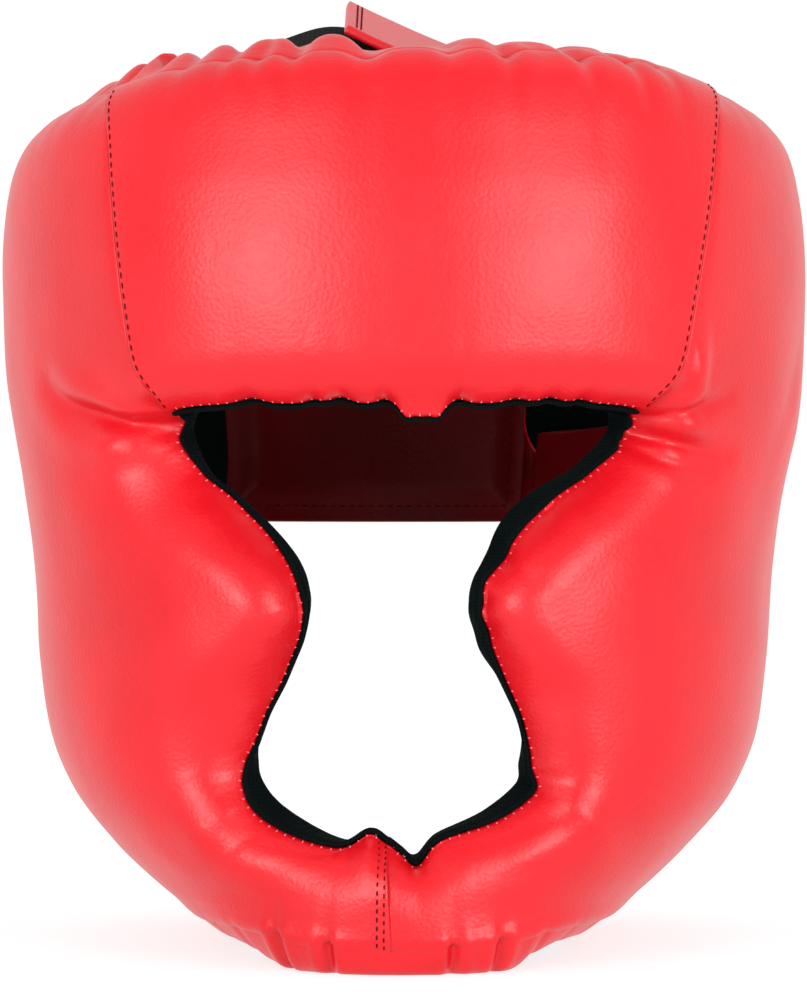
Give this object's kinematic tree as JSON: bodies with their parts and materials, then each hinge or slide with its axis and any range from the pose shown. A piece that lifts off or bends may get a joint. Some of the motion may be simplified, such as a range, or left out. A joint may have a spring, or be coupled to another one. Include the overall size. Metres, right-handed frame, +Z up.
{
  "type": "sparring headgear",
  "caption": "Padded leather sparring headgear, open at the face, with a forehead pad, side pads that meet in a chin bar, a dark lining, a back panel and crown straps.",
  "frame": {"origin": "on the floor, under the middle of the box round the whole headgear", "axes": "+Z up, -Y the way the face looks, +X to the wearer's left"},
  "size_m": [0.2162, 0.2268, 0.2543],
  "materials": {
    "red_leather": "semi-gloss grained leather",
    "black_lining": "matte cloth"
  },
  "bodies": {
    "root": {"forehead_pad": "red_leather", "side_pad_left": "red_leather", "side_pad_right": "red_leather", "top_strip": "red_leather", "bottom_strip": "red_leather", "back_panel": "red_leather", "back_strap": "red_leather", "crown_strap": "red_leather", "forehead_lining": "black_lining", "side_lining_left": "black_lining", "side_lining_right": "black_lining", "brow_binding": "black_lining", "face_binding_left": "black_lining", "face_binding_right": "black_lining", "crown_flap": "black_lining"}
  },
  "joints": []
}
